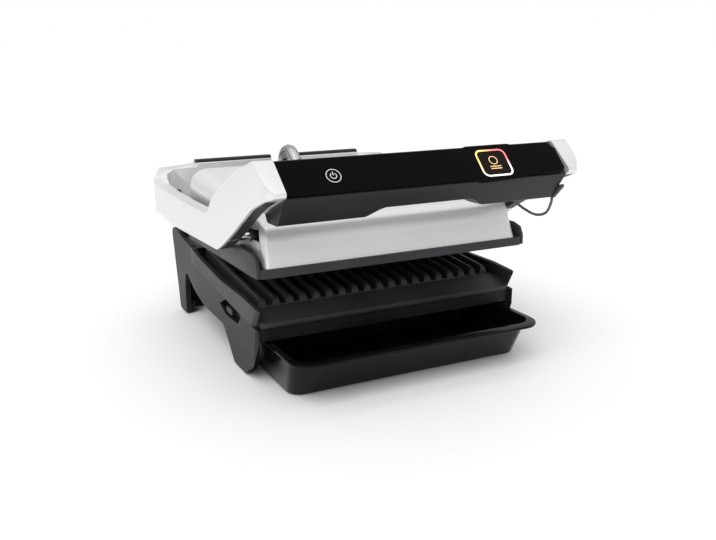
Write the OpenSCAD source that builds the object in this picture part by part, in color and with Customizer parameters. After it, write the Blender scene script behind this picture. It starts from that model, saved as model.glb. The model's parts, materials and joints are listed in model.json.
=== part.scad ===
// Electric contact grill: a ribbed lower plate in a housing on four legs, a lid frame with
// a handle across its front, a ribbed upper head that floats in the frame, and a drip tray.
// The lid stands a little above its closed place and the tray is drawn out.
// +X is to the right seen from the handle, -Y is the handle's side and +Z is up.
// The origin lies on the bench, midway between the handle's front and the frame's rear.

/* [Lid frame] */
// Width over the two arms
arm_span = 348; // [340:1:370]
// Thickness of each arm
arm_t = 14.5; // [12:0.5:16]
// Reach of the handle in front of the midline of the feet
front_reach = 258; // [254:1:264]
// Reach of the frame behind the midline of the feet
rear_reach = 157; // [156:1:164]
// Thickness of the frame's rear bar
bar_t = 14; // [10:0.5:15]
// Angle by which the lid stands above its closed place
lid_raised = 6.2; // [3:0.1:12]
// Distance of the hinge behind the midline of the feet
hinge_y = 125; // [123:0.5:126]
// Height of the hinge above the bench
hinge_z = 140; // [139:0.5:144]
// Diameter of the hinge pins
hinge_pin_d = 10; // [8:0.5:12]
// Running clearance between a pin and its bore, on the radius
run_gap = 0.05; // [0.03:0.01:0.08]

/* [Handle] */
// Gap between each end of the sloping fascia and the arm
panel_gap = 4.5; // [4:0.5:8]
// Height of the fascia along its slope
panel_h = 38; // [36:0.5:40]
// Thickness of the fascia
panel_t = 3; // [2:0.5:4]
// Angle of the fascia from the plane of the plates
panel_tilt = 47; // [44:0.5:50]
// Wall of the handle body
handle_wall = 3; // [2:0.5:4]
// Diameter of the power button
button_d = 17.4; // [14:0.2:22]
// Distance of the power button from the fascia's left end
button_from_end = 52; // [36:1:70]
// Travel of the power button
button_travel = 0.8; // [0.5:0.1:1.2]
// Width of the display window
display_w = 36; // [30:0.5:42]
// Distance of the display from the fascia's right end
display_from_end = 82; // [60:1:95]

/* [Upper head] */
// Gap between the steel shell and each arm
shell_gap = 10; // [8:0.5:12]
// Thickness of the shell's sheet
shell_t = 1.2; // [0.8:0.1:1.6]
// Gap between the upper plate's rim and each arm
upper_gap = 5.5; // [3:0.5:7]
// Depth of the upper plate
upper_depth = 236; // [220:1:240]
// Height of the upper plate's rim
upper_rim = 9.5; // [8:0.5:12]
// Gap between the ribs of the two plates with the lid closed
closed_gap = 3.5; // [3:0.1:6]
// Diameter of the float pins
float_pin_d = 7; // [6:0.5:9]

/* [Lower plate] */
// Number of ribs
rib_count = 19; // [15:2:19]
// Width of the gutter beside the ribs
gutter_w = 10.3; // [8:0.1:14]
// Height of the ribs
rib_h = 8; // [5:0.5:9]
// Length of the lower plate behind its rib tips
plate_len = 208; // [200:1:212]
// Slope of the plate towards the front
plate_slope = 4.1; // [2:0.1:5]
// Thickness of the plate's floor
floor_t = 3.5; // [3:0.5:4.5]

/* [Base] */
// Gap between the housing and each arm
side_gap = 2.5; // [2:0.5:4]
// Thickness of the housing's cheeks
cheek_t = 6.5; // [5:0.5:7.5]
// Wall of the housing elsewhere
base_wall = 3; // [2:0.5:4]
// Height of the underside above the bench
belly_z = 46; // [45.5:0.5:48]
// Thickness of the rubber feet
foot_t = 2; // [1.5:0.5:3]
// Travel of the plate release buttons
latch_travel = 2.5; // [1.5:0.5:3]

/* [Drip tray] */
// Gap between the tray's rim and each cheek
tray_gap = 1.5; // [1:0.5:4]
// Height of the tray
tray_h = 42.5; // [38:0.5:43]
// Depth of the tray's floor from front to rear
tray_depth = 112; // [90:1:120]
// Distance by which the tray is drawn out
tray_drawn = 70; // [0:1:90]
// Wall of the tray
tray_wall = 2.2; // [1.6:0.2:3]

/* [Hidden] */

// Frames: the housing is drawn from the midline of the feet; the lower plate from its front
// rib tips, along its slope; the lid from the hinge, level with the upper plate.
mid_shift = (front_reach - rear_reach) / 2;
rib_front_y = -161;
rib_top_z = 81;
lid_tilt = lid_raised - plate_slope;
arm_x = arm_span / 2;
arm_in = arm_x - arm_t;
body_x = arm_in - side_gap;
cheek_in = body_x - cheek_t;
shell_x = arm_in - shell_gap;
upper_x = arm_in - upper_gap;
tray_x = cheek_in - tray_gap;
handle_x = arm_in - panel_gap;
button_x = handle_x - button_from_end;
display_x = handle_x - display_from_end;
// Width of the lower plate's side rim, and of a rib at its foot
rim_t = 4.5;
rib_base = 9;
grid_x = body_x - rim_t - gutter_w;
rib_pitch = (2 * grid_x - rib_base) / (rib_count - 1);
// Clearance between a wall and what lies against it
fit_gap = 0.3;
hinge_t = (hinge_z - rib_top_z) * cos(plate_slope) - (hinge_y - rib_front_y) * sin(plate_slope);
hinge_v = (hinge_y - rib_front_y) * cos(plate_slope) + (hinge_z - rib_top_z) * sin(plate_slope);
rib_plane = closed_gap - hinge_t;
bar_top = 43.5;
rear_u = (rear_reach - hinge_y) / cos(lid_tilt) - bar_top * tan(lid_tilt);
bar_u = rear_u - bar_t;

// ---- outlines ----
function unit(v) = v / norm(v);
function turned(v, a) = [v.x * cos(a) - v.y * sin(a), v.x * sin(a) + v.y * cos(a)];
// An arc about a centre, from angle a0 to a1
function arc(c, r, a0, a1, n = 8) = [for (i = [0:n]) c + r * turned([1, 0], a0 + (a1 - a0) * i / n)];
// One corner b between a and c, rounded to radius r
function corner(a, b, c, r, n) =
    r == 0 ? [b] :
    let (u = unit(a - b), v = unit(c - b),
        half = acos(u * v) / 2,
        hub = b + unit(u + v) * r / sin(half),
        s = b + u * r / tan(half) - hub,
        e = b + v * r / tan(half) - hub,
        sweep = atan2(s.x * e.y - s.y * e.x, s * e))
    [for (i = [0:n]) hub + turned(s, sweep * i / n)];
// A closed outline whose points are [x, y, corner radius]
function rounded(p, n = 5) = [for (i = [0:len(p) - 1])
    let (a = p[(i + len(p) - 1) % len(p)], b = p[i], c = p[(i + 1) % len(p)])
    each corner([a.x, a.y], [b.x, b.y], [c.x, c.y], b.z, n)];
// A rectangle in plan with its own radii at the front and the rear
function plan(x, y0, y1, rf, rr, n = 6) =
    rounded([[-x, y0, rf], [x, y0, rf], [x, y1, rr], [-x, y1, rr]], n);

module along_x(x0, x1) translate([x0, 0, 0]) rotate([90, 0, 90]) linear_extrude(x1 - x0) children();
module along_y(y0, y1) translate([0, y1, 0]) rotate([90, 0, 0]) linear_extrude(y1 - y0) children();
module upright(z0, z1) translate([0, 0, z0]) linear_extrude(z1 - z0) children();
module outline(p, n = 5) polygon(rounded(p, n));
module both_sides() {
    children();
    mirror([1, 0, 0]) children();
}
module peg(x0, x1, y, z, d, n = 48) translate([x0, y, z]) rotate([0, 90, 0])
    cylinder(h = x1 - x0, d = d, $fn = n);

// ---- places ----
module in_base() translate([0, mid_shift, 0]) children();
module in_plate() in_base() translate([0, rib_front_y, rib_top_z]) rotate([plate_slope, 0, 0]) children();
module in_lid() in_base() translate([0, hinge_y, hinge_z]) rotate([-lid_tilt, 0, 0]) children();
// A point of the sloping lower plate, seen in the housing's frame
function on_slope(v, t) = [rib_front_y + v * cos(plate_slope) - t * sin(plate_slope),
    rib_top_z + v * sin(plate_slope) + t * cos(plate_slope)];

// ================= base =================
rim_drop = 20;
plate_rear = plate_len + 4;
rear_wall_y = 128;
deck_z = 96;
leg_front_y = -152;
foot_rear_y = 111;
foot_gap_front = -102;
foot_gap_rear = 84;
front_wall_y = on_slope(-10, -rim_drop).x;

function with_r(p, r) = [p.x, p.y, r];
cheek_edge = [[leg_front_y, foot_t, 5], [foot_gap_front, foot_t, 3], [-87, 17, 12], [-68, 35, 18],
    [2, 35, 40], [40, 43, 40], [77, 60, 8], [foot_gap_rear - 1, 40, 20], [foot_gap_rear, foot_t, 2],
    [foot_rear_y, foot_t, 3], [117, 30, 30], [135, 107, 9], [60, 97.5, 60],
    with_r(on_slope(plate_rear, 0), 0), with_r(on_slope(plate_rear, -rim_drop), 0),
    with_r(on_slope(-8, -rim_drop), 3), [front_wall_y + 3, belly_z - 1, 8]];

module body_plan(grow = 0) polygon(plan(body_x + grow, front_wall_y - 8 - grow, 160, 20, 4));

latch_y = -88;
latch_z = 56;
latch_window = [[-58, 56.5, 1], [-79, 66.5, 4], [-124, 68.5, 4], [-128, 60, 3], [-118, 50.5, 4], [-80, 49, 4]];

module base_housing() color([0.16, 0.16, 0.17]) in_base() difference() {
    intersection() {
        union() {
            both_sides() along_x(cheek_in, body_x) outline(cheek_edge);
            housing_walls();
            both_sides() front_foot();
            both_sides() rear_leg_web();
            both_sides() tray_ledge();
        }
        upright(0, 160) body_plan();
    }
    // recess round the release button, and the way of its stem
    along_x(-body_x - 1, -body_x + cheek_t + 1.5) outline(latch_window);
    translate([-body_x + cheek_t, latch_y - 5.2, latch_z - 3.2]) cube([8, 10.4, 6.4]);
    // gland's hole in the rear wall
    at_gland() translate([0, 0, -8]) cylinder(h = 12, d = 13, $fn = 40);
}

module housing_walls() {
    // front wall under the lip
    along_x(-cheek_in - 1, cheek_in + 1) polygon([[front_wall_y, belly_z], [front_wall_y + base_wall, belly_z],
        on_slope(-7, -rim_drop), on_slope(-10.5, -rim_drop)]);
    // wall behind the plate, deck over the rear chamber and the housing's back
    along_x(-cheek_in - 1, cheek_in + 1) difference() {
        polygon([on_slope(plate_rear + 0.5, -32), on_slope(plate_rear + 0.5, -6), [60, 92], [118, deck_z],
            [rear_wall_y, deck_z - 8], [rear_wall_y - 8, belly_z],
            [on_slope(plate_rear, -32).x, cover_top + 2 * fit_gap]]);
        polygon([on_slope(plate_rear + 4, -31), on_slope(plate_rear + 4, -9), [60, 89], [117, deck_z - 3],
            [rear_wall_y - 3, deck_z - 10], [rear_wall_y - 11, belly_z - 1],
            [on_slope(plate_rear + 3.5, -31).x, belly_z - 1]]);
    }
    // ledge that the bottom cover is screwed against
    both_sides() along_x(cheek_in - 7, cheek_in + 1) polygon([[front_wall_y + 1, belly_z + 2.5],
        [rear_wall_y - 7, belly_z + 2.5], [rear_wall_y - 7, belly_z + 6], [front_wall_y + 1, belly_z + 6]]);
    for (p = screw_places) boss(p);
    // thicker wall behind the release button
    along_x(-cheek_in - 1, -cheek_in + 4.5) outline([[-136, belly_z + 3, 2], [-50, belly_z + 3, 2],
        [-50, 64, 3], [-134, 60, 3]]);
}
screw_places = [for (x = [-1, 1], y = [-140, -20, 100]) [x * (cheek_in - 10), y]];
module boss(p) translate([p.x, p.y, belly_z + 2.5]) difference() {
    cylinder(h = 6, d = 9, $fn = 32);
    translate([0, 0, -1]) cylinder(h = 8, d = 3, $fn = 24);
}
module front_foot() along_x(cheek_in - 7, cheek_in + 1) outline([[leg_front_y + 3, foot_t, 4],
    [foot_gap_front - 3, foot_t, 3], [foot_gap_front - 5, 30, 8], [leg_front_y, 34, 3]]);
leg_web_t = 22;
module rear_leg_web() {
    along_x(cheek_in - leg_web_t, cheek_in + 1) outline([[foot_gap_rear + 16, foot_t, 1],
        [foot_rear_y - 0.5, foot_t, 2], [116.5, 30, 30], [rear_wall_y, 88, 2], [rear_wall_y - 6, 88, 1], [rear_wall_y - 18, 30, 20]]);
    along_x(cheek_in - 6, cheek_in + 1) outline([[foot_gap_rear + 2, foot_t, 2], [foot_rear_y - 2, foot_t, 2],
        [foot_rear_y, 16, 2], [foot_gap_rear + 2, 16, 2]]);
}
// Rails that carry the tray's rim
tray_z = 1.6;
rail_z = tray_z + tray_h - 3;
module tray_ledge() along_x(cheek_in - 6, cheek_in + 1) polygon([[leg_front_y + 4, rail_z - 3.3],
    [40, rail_z - 3.3], [40, rail_z - 0.3], [leg_front_y + 4, rail_z - 0.3]]);

cover_top = belly_z + 2.5;
// The cover goes round the rear legs
module cover_plan() difference() {
    translate([-cheek_in + fit_gap, front_wall_y + base_wall + fit_gap])
        square([2 * (cheek_in - fit_gap), rear_wall_y - 11.5 - front_wall_y - base_wall - fit_gap]);
    for (x = [-cheek_in - 1, cheek_in - leg_web_t - fit_gap]) translate([x, rear_wall_y - 18])
        square([leg_web_t + fit_gap + 1, 30]);
}
module base_cover() color([0.12, 0.12, 0.13]) in_base() difference() {
    union() {
        upright(belly_z, cover_top) cover_plan();
        for (y = [-110:30:70]) translate([-cheek_in + 50, y - 1, cover_top - 0.1])
            cube([2 * cheek_in - 100, 2, 3]);
    }
    for (x = [-60:12:60]) translate([x - 2, -5, belly_z - 1]) cube([4, 30, 8]);
    for (p = screw_places) translate([p.x, p.y, belly_z - 1]) cylinder(h = 5, d = 3.4, $fn = 24);
}

module feet() color([0.08, 0.08, 0.08]) in_base() both_sides() {
    along_y(leg_front_y + 5, foot_gap_front - 5) foot_section();
    along_y(foot_gap_rear + 4, foot_rear_y - 4) foot_section();
}
module foot_section()
    polygon([[cheek_in - 4, foot_t], [cheek_in - 2.5, 0], [body_x - 3, 0], [body_x - 1.5, foot_t]]);

module cover_screws() color([0.6, 0.6, 0.62]) in_base() for (p = screw_places)
    translate([p.x, p.y, belly_z - 1.5]) union() {
        difference() {
            cylinder(h = 1.5, d = 6, $fn = 32);
            for (a = [0, 90]) rotate([0, 0, a]) translate([-2, -0.4, -1]) cube([4, 0.8, 1.8]);
        }
        translate([0, 0, 1]) cylinder(h = 7, d = 3, $fn = 24);
    }

// ---- lower plate ----
rib_top = 4.2;
floor_top = -rib_h - 4.5;
module rib_section(depth) polygon([[-grid_x, -depth], each [for (i = [0:rib_count - 1])
    let (x = (i - (rib_count - 1) / 2) * rib_pitch)
    each [[x - rib_base / 2, -rib_h], [x - rib_top / 2 - 1, -1.7], [x - rib_top / 2 + 0.6, 0],
        [x + rib_top / 2 - 0.6, 0], [x + rib_top / 2 + 1, -1.7], [x + rib_base / 2, -rib_h]]],
    [grid_x, -depth]]);
// Room that rounds off the ribs' ends
module rib_ends(v0, v1) along_x(-grid_x - 1, grid_x + 1) {
    polygon([[v0 - 9, 1], [v0 + rib_h, 1], each arc([v0 + rib_h, -rib_h], rib_h, 90, 180, 6), [v0 - 9, -rib_h]]);
    polygon([[v1 + 9, 1], [v1 - rib_h, 1], each arc([v1 - rib_h, -rib_h], rib_h, 90, 0, 6), [v1 + 9, -rib_h]]);
}
lip_v = -14;
rim_edge = [[lip_v + 2, -rim_drop, 3], [lip_v, -rim_drop + 7, 3], [-7, 1, 6], [24, 2, 20], [95, -4, 60],
    [167, -3.5, 60], [plate_rear, 0, 0], [plate_rear, -rim_drop, 0]];
module lower_plate() color([0.2, 0.2, 0.21]) in_plate() difference() {
    intersection() {
        union() {
            both_sides() along_x(body_x - rim_t, body_x) outline(rim_edge);
            // floor with the apron that drains over the lip
            along_x(-body_x + 1, body_x - 1) outline([[lip_v, -14.5, 1], [2, -rib_h - 0.6, 1],
                [8, floor_top, 0], [plate_rear - 3, floor_top, 0], [plate_rear - 3, -2, 0],
                [plate_rear, -2, 0], [plate_rear, floor_top - floor_t, 0], [-6, floor_top - floor_t, 4],
                [lip_v + 3, -rim_drop, 1], [lip_v, -rim_drop + 1, 1]]);
            along_y(0, plate_len - 6) rib_section(-floor_top + 1);
        }
        translate([0, -rib_front_y, 0]) upright(-40, 30) body_plan();
    }
    rib_ends(0, plate_len - 6);
    // side gutters, open to the apron
    both_sides() along_x(grid_x + 0.5, body_x - rim_t) outline([[4, floor_top + 3, 2],
        [plate_rear - 3, floor_top - 0.01, 0], [plate_rear - 3, 6, 0], [-2, 6, 0], [-2, -8, 4]]);
}

heater_d = 6.5;
heater_t = floor_top - floor_t - heater_d / 2 - fit_gap;
heater_reach = grid_x - 37;
// Half the width of both reflectors
reflector_x = heater_reach + 30;
// A serpentine tube: straight runs joined by half rings
module heater(y0, y1, runs) {
    step = 2 * heater_reach / (runs - 1);
    for (i = [0:runs - 1]) translate([-heater_reach + i * step, y0, 0]) rotate([-90, 0, 0])
        cylinder(h = y1 - y0, d = heater_d, $fn = 32);
    for (i = [0:runs - 2]) translate([-heater_reach + (i + 0.5) * step, i % 2 == 0 ? y0 : y1, 0])
        rotate([0, 0, i % 2 == 0 ? 180 : 0]) rotate_extrude(angle = 180, $fn = 48)
            translate([step / 2, 0]) circle(d = heater_d, $fn = 32);
}
module lower_heater() color([0.35, 0.33, 0.32]) in_plate() translate([0, 0, heater_t])
    heater(46, plate_len - 45, 4);
module lower_reflector() color([0.72, 0.73, 0.74]) in_plate() difference() {
    along_x(-reflector_x, reflector_x) polygon([[4, heater_t - 6.2], [plate_len - 4, heater_t - 6.2],
        [plate_len - 2, heater_t + 3], [plate_len - 3, heater_t + 3], [plate_len - 5, heater_t - 5.4],
        [5, heater_t - 5.4], [3, heater_t + 1], [2, heater_t + 1]]);
    translate([0, plate_len / 2 - 4, heater_t - 10]) cylinder(h = 8, d = 14, $fn = 40);
}
module lower_sensor() color([0.8, 0.8, 0.82]) in_plate() translate([0, plate_len / 2 - 4, heater_t - 9]) {
    cylinder(h = floor_top - floor_t - 0.1 - heater_t + 8, d = 9, $fn = 40);
    cylinder(h = 2, d = 12, $fn = 40);
}
module lower_latch() color([0.3, 0.3, 0.31]) in_base() translate([-body_x, latch_y, latch_z]) {
    along_x(1, 4) outline([[-9, -3.4, 2], [9, -3.4, 2], [9, 3.4, 2], [-9, 3.4, 2]]);
    along_x(3.9, cheek_t + 11) polygon([[-4.5, -2.5], [4.5, -2.5], [4.5, 2.5], [-4.5, 2.5]]);
}

// ---- hinge ----
bracket_t = 5;
module hinge_brackets() color([0.1, 0.1, 0.1]) in_base() both_sides() difference() {
    along_x(cheek_in - bracket_t, cheek_in) union() {
        polygon([[98, 100], [hinge_y - 9, 100.5], each arc([hinge_y, hinge_z], 13.5, -118, 165, 24)]);
        polygon([[98, 100.5], [98, 92 + 38 / 58 * (deck_z - 92)], [118, deck_z], [126, deck_z + 0.5], [126, 104]]);
    }
    peg(cheek_in - bracket_t - 1, cheek_in + 1, hinge_y, hinge_z, hinge_pin_d);
}
module hinge_pins() color([0.7, 0.7, 0.72]) in_base() both_sides() {
    peg(cheek_in - bracket_t, arm_x - 4, hinge_y, hinge_z, hinge_pin_d);
    peg(cheek_in - bracket_t - 3, cheek_in - bracket_t, hinge_y, hinge_z, hinge_pin_d + 6);
}
module terminal_block() color([0.85, 0.84, 0.8]) in_base() translate([-60, rear_wall_y - 40, cover_top + 5.5])
    difference() {
        cube([60, 18, 16]);
        for (i = [0:4]) translate([6 + i * 12, 9, 8]) cylinder(h = 10, d = 5, $fn = 24);
    }
// The rear wall leans, and the gland stands square to it
wall_lean = atan2(8, deck_z - 8 - belly_z);
gland_z = 70;
module at_gland() translate([-body_x + 67, rear_wall_y - (deck_z - 8 - gland_z) * tan(wall_lean), gland_z])
    rotate([-90 - wall_lean, 0, 0]) children();
module cord_gland() color([0.07, 0.07, 0.07]) in_base() at_gland() rotate_extrude($fn = 48)
    polygon([[3.7, -6], [8, -6], [8, -3.4], [6.4, -3.4], [6.4, 0.02], [8.5, 0.02], [7.5, 5], [3.7, 5]]);

// ---- drip tray ----
tray_front = -141 - tray_drawn;
tray_bow = 16;
// Plan of the tray: a bowed front between rounded corners
function tray_plan(x, y0, y1, bow, r) =
    let (R = (x * x + bow * bow) / (2 * bow), half = asin((x - r) / R))
    concat([for (i = [0:14]) let (a = -half + i * half / 7) [R * sin(a), y0 + R - R * cos(a)]],
        arc([x - r, y0 + bow + r * 0.55], r, -58, 0, 5),
        arc([x - 12, y1 - 12], 12, 0, 90, 5), arc([-x + 12, y1 - 12], 12, 90, 180, 5),
        arc([-x + r, y0 + bow + r * 0.55], r, 180, 238, 5));
module tray_shape(inset) hull() {
    upright(tray_z + inset, tray_z + inset + 0.01)
        polygon(tray_plan(137 - inset, tray_front + inset, tray_front + tray_depth - inset, tray_bow, 13));
    upright(tray_z + tray_h - 3, tray_z + tray_h + (inset > 0 ? 2 : -2)) polygon(tray_plan(tray_x - 7.5 - inset,
        tray_front - 26 + inset, tray_front + tray_depth + 8 - inset, tray_bow, 15));
}
module drip_tray() color([0.09, 0.09, 0.09]) in_base() difference() {
    union() {
        tray_shape(0);
        upright(rail_z, tray_z + tray_h) polygon(tray_plan(tray_x, tray_front - 38, tray_front + tray_depth + 14,
            tray_bow, 18));
    }
    tray_shape(tray_wall);
    // dished pull in the rim
    translate([0, tray_front - 46, tray_z + tray_h]) rotate([-14, 0, 0]) cylinder(h = 3, d = 18, $fn = 40);
}

// ================= lid frame =================
// The arms' noses and the rear bar's top corner are the ends of the overall depth
nose_u = -(front_reach + hinge_y) / cos(lid_tilt) - 58 * tan(lid_tilt) + 1.5;
head_front = nose_u + 75;
head_back = -37;
shell_low = rib_plane + 9;
arm_edge = [[rear_u + 1, -5, 12], [-8, -15, 10], [-45, -20, 40], [nose_u + 147, -17, 14],
    [nose_u + 126, -8, 30], [nose_u + 88, 12, 60], [nose_u + 38, 40, 60], [nose_u - 0.5, 54, 4],
    [nose_u - 2, 58, 3], [nose_u + 29, 85, 5], [nose_u + 45, 80, 30], [nose_u + 77, 71.5, 60],
    [nose_u + 129, 49, 60], [nose_u + 155, 36, 20], [nose_u + 177, 15.5, 14], [-120, 16, 60],
    [-40, 18.5, 60], [rear_u + 1, 25, 10]];
module frame_plan(x, u0, u1, rf, rr) polygon(plan(x, u0, u1, rf, rr, 8));
module frame_ring() difference() {
    frame_plan(arm_x, nose_u - 6, rear_u, 26, 42);
    frame_plan(arm_in, nose_u + 40, bar_u, 12, 12);
}
bar_end = arm_x - 57;
// Front view of the frame's rear, which climbs from the arms to its bar
module rear_view() polygon([[-arm_x - 1, bar_low], [arm_x + 1, bar_low], [arm_x + 1, 24], [arm_x - 14, 31],
    [arm_x - 30, 38.5], [bar_end, bar_top], [-bar_end, bar_top], [-arm_x + 30, 38.5], [-arm_x + 14, 31], [-arm_x - 1, 24]]);
bar_low = -5;
module arm_solid() difference() {
    union() {
        peg(-arm_in - 1, -cheek_in - 0.8, 0, 0, 20);
        intersection() {
            along_x(-arm_x, -arm_in) outline(arm_edge);
            upright(-60, 120) frame_plan(arm_x, nose_u - 8, rear_u, 26, 42);
        }
        // the arm's front turns in to meet the handle
        intersection() {
            along_x(-arm_x, -handle_x) intersection() {
                outline(arm_edge);
                translate([nose_u - 10, 20]) square([60, 90]);
            }
            upright(-60, 120) frame_plan(arm_x, nose_u - 8, rear_u, 26, 42);
        }
        // the arm's rear turns in to meet the bar
        intersection() {
            upright(-60, 120) frame_ring();
            along_y(bar_u - 40, rear_u + 1) rear_view();
            along_x(-arm_x - 1, -bar_end) polygon([[bar_u - 38, bar_low], [bar_u - 38, 19.4], [bar_u - 23, 20.5],
                [bar_u - 8, 30], [bar_u + 6, bar_top], [rear_u + 1, bar_top], [rear_u + 1, bar_low]]);
        }
    }
    arm_hollow();
    peg(-arm_x + 3, -cheek_in, 0, 0, hinge_pin_d + 2 * run_gap);
    peg(-arm_x - 1, -arm_x + 1.6, 0, 0, cap_d);
}
cap_d = 16;
liner_t = 11.5;
// Room for the liner: the arm's inner half, below its top edge
module arm_hollow() along_x(-arm_in - liner_t, -arm_in + 1) liner_outline();
module liner_outline() intersection() {
    outline(arm_edge);
    translate([0, -5]) outline(arm_edge);
    translate([nose_u + 9, -30]) square([-nose_u - 23, 130]);
}
module left_arm() color([0.8, 0.8, 0.8]) in_lid() arm_solid();
module right_arm() color([0.8, 0.8, 0.8]) in_lid() mirror([1, 0, 0]) arm_solid();
module liner() difference() {
    along_x(-arm_in - liner_t, -arm_in) liner_outline();
    peg(-arm_in - liner_t - 1, -arm_in + 2, float_u, float_w, float_pin_d);
    peg(-arm_in - liner_t - 1, -arm_in + 2, guide_u, guide_w, guide_d);
}
module left_arm_liner() color([0.25, 0.25, 0.26]) in_lid() liner();
module right_arm_liner() color([0.25, 0.25, 0.26]) in_lid() mirror([1, 0, 0]) liner();
module pivot_caps() color([0.75, 0.75, 0.75]) in_lid() both_sides() {
    peg(-arm_x + 0.2, -arm_x + 1.6, 0, 0, cap_d);
}
notch_x = 18;
notch_w = 14;
conduit_x = 5;
module rear_bar() color([0.2, 0.2, 0.21]) in_lid() {
    difference() {
        intersection() {
            along_y(bar_u, rear_u) rear_view();
            translate([-bar_end, bar_u - 1, -60]) cube([2 * bar_end, bar_t + 2, 140]);
        }
        translate([conduit_x - notch_x, bar_u - 1, notch_w]) cube([2 * notch_x, bar_t + 2, 40]);
    }
    // boss under the conduit
    along_x(conduit_x - conduit_d / 2 - 3, conduit_x + conduit_d / 2 + 3) polygon([[bar_u + 1, bar_low],
        [conduit_u - conduit_d / 2 - 3, bar_low + 8], [conduit_u - conduit_d / 2 - 3, notch_w], [bar_u + 1, notch_w]]);
}
module bar_strips() color([0.1, 0.1, 0.1]) in_lid() {
    along_x(-bar_end, conduit_x - notch_x) strip_section();
    along_x(conduit_x + notch_x, bar_end) strip_section();
}
module strip_section() outline([[bar_u + 1, bar_top, 0], [rear_u - 1, bar_top, 0], [rear_u - 2, bar_top + 4, 2],
    [bar_u + 2, bar_top + 4, 2]]);

// ---- handle ----
handle_edge = [[nose_u + 28, 83, 2], [nose_u + 1, 55, 1], [nose_u + 6, 48, 4], [nose_u + 24, 25, 5],
    [nose_u + 49, 25, 6], [nose_u + 58, 40, 10], [nose_u + 56, 62, 14], [nose_u + 40, 82, 5]];
arch_h = 9;
module on_panel() translate([0, nose_u + 14.5, 69]) rotate([panel_tilt, 0, 0]) children();
module handle_body() color([0.24, 0.24, 0.25]) in_lid() difference() {
    along_x(-handle_x, handle_x) outline(handle_edge);
    // hollow for the electronics, closed by the fascia
    along_x(-handle_x + handle_wall, handle_x - handle_wall) intersection() {
        offset(delta = -handle_wall) outline(handle_edge);
        translate([nose_u - 5, 25 + arch_h + handle_wall]) square([80, 80]);
    }
    on_panel() translate([-handle_x - 1, -40, -panel_t]) cube([2 * handle_x + 2, 80, 30]);
    // finger arch under the middle
    along_y(nose_u - 5, nose_u + 70) polygon([[-70, 24], [-66, 25.5], [-54, 25 + arch_h - 2], [-48, 25 + arch_h],
        [48, 25 + arch_h], [54, 25 + arch_h - 2], [66, 25.5], [70, 24]]);
    // pockets behind the display and the button
    on_panel() translate([display_x - 15, -12, -board_gap]) cube([30, 22, board_gap]);
    on_panel() translate([-button_x, -1, -board_gap]) cylinder(h = board_gap, d = button_d + 1.6, $fn = 48);
    for (x = handle_screw_x) translate([x, nose_u + 37, 20]) cylinder(h = 14, d = 3, $fn = 24);
    for (x = handle_screw_x) translate([x, nose_u + 37, 24]) cylinder(h = 3, d = 6.4, $fn = 32);
}
handle_screw_x = [20 - handle_x, 70 - handle_x, handle_x - 70, handle_x - 20];
module handle_screws() color([0.55, 0.55, 0.57]) in_lid() for (x = handle_screw_x)
    translate([x, nose_u + 37, 25]) {
        cylinder(h = 2, d = 6, $fn = 32);
        cylinder(h = 9, d = 3, $fn = 24);
    }
pad_x = display_w / 2 + 8;
// The fascia: straight edges, cut corners and a pad round the display
module panel_outline() polygon([[-handle_x, -panel_h / 2 + 4], [-handle_x + 4, -panel_h / 2],
    [display_x - pad_x - 5, -panel_h / 2], [display_x - pad_x + 1, -panel_h / 2 - 3],
    [display_x + pad_x - 1, -panel_h / 2 - 3], [display_x + pad_x + 5, -panel_h / 2],
    [handle_x - 6, -panel_h / 2], [handle_x, -panel_h / 2 + 6], [handle_x, panel_h / 2 - 8],
    [handle_x - 8, panel_h / 2], [display_x + pad_x + 5, panel_h / 2], [display_x + pad_x - 1, panel_h / 2 + 2],
    [display_x - pad_x + 1, panel_h / 2 + 2], [display_x - pad_x - 5, panel_h / 2],
    [-handle_x + 1, panel_h / 2], [-handle_x, panel_h / 2 - 1]]);
module square_outline(w, h, r)
    polygon(rounded([[-w / 2, -h / 2, r], [w / 2, -h / 2, r], [w / 2, h / 2, r], [-w / 2, h / 2, r]], 6));
display_h = display_w * 0.9;
ring_t = 1.8;
module control_panel() color([0.02, 0.02, 0.02]) in_lid() on_panel() difference() {
    upright(-panel_t, 0) panel_outline();
    translate([display_x, -1, 0]) upright(-panel_t - 1, 1) square_outline(display_w, display_h, 7);
    translate([-button_x, -1, -panel_t - 1]) cylinder(h = panel_t + 2, d = button_d + 0.6, $fn = 64);
}
module display_window() color([0.05, 0.04, 0.04]) in_lid() on_panel() translate([display_x, -1, 0])
    upright(-panel_t, -0.2) square_outline(display_w - 2 * ring_t, display_h - 2 * ring_t, 7 - ring_t);
module display_ring() color([0.9, 0.85, 0.7]) in_lid() on_panel() translate([display_x, -1, 0])
    upright(-panel_t, 0) difference() {
        square_outline(display_w, display_h, 7);
        square_outline(display_w - 2 * ring_t, display_h - 2 * ring_t, 7 - ring_t);
    }
module power_button() color([0.04, 0.04, 0.04]) in_lid() on_panel() translate([-button_x, -1, 0]) {
    translate([0, 0, -panel_t + 0.4]) cylinder(h = panel_t - 0.4, d = button_d, $fn = 64);
    translate([0, 0, -board_gap + button_travel + 0.5]) cylinder(h = board_gap - button_travel - 3, d = 4, $fn = 32);
}
board_gap = 9;
module control_board() color([0.05, 0.3, 0.14]) in_lid() on_panel() {
    translate([-handle_x + 35, -12, -board_gap - 1.6]) cube([2 * handle_x - 90, 24, 1.6]);
    translate([display_x - 14, -11, -board_gap]) cube([28, 20, board_gap - panel_t]);
    for (x = [-60, -20, 20]) translate([x, -5, -board_gap]) cube([12, 9, 2.5]);
}

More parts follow.
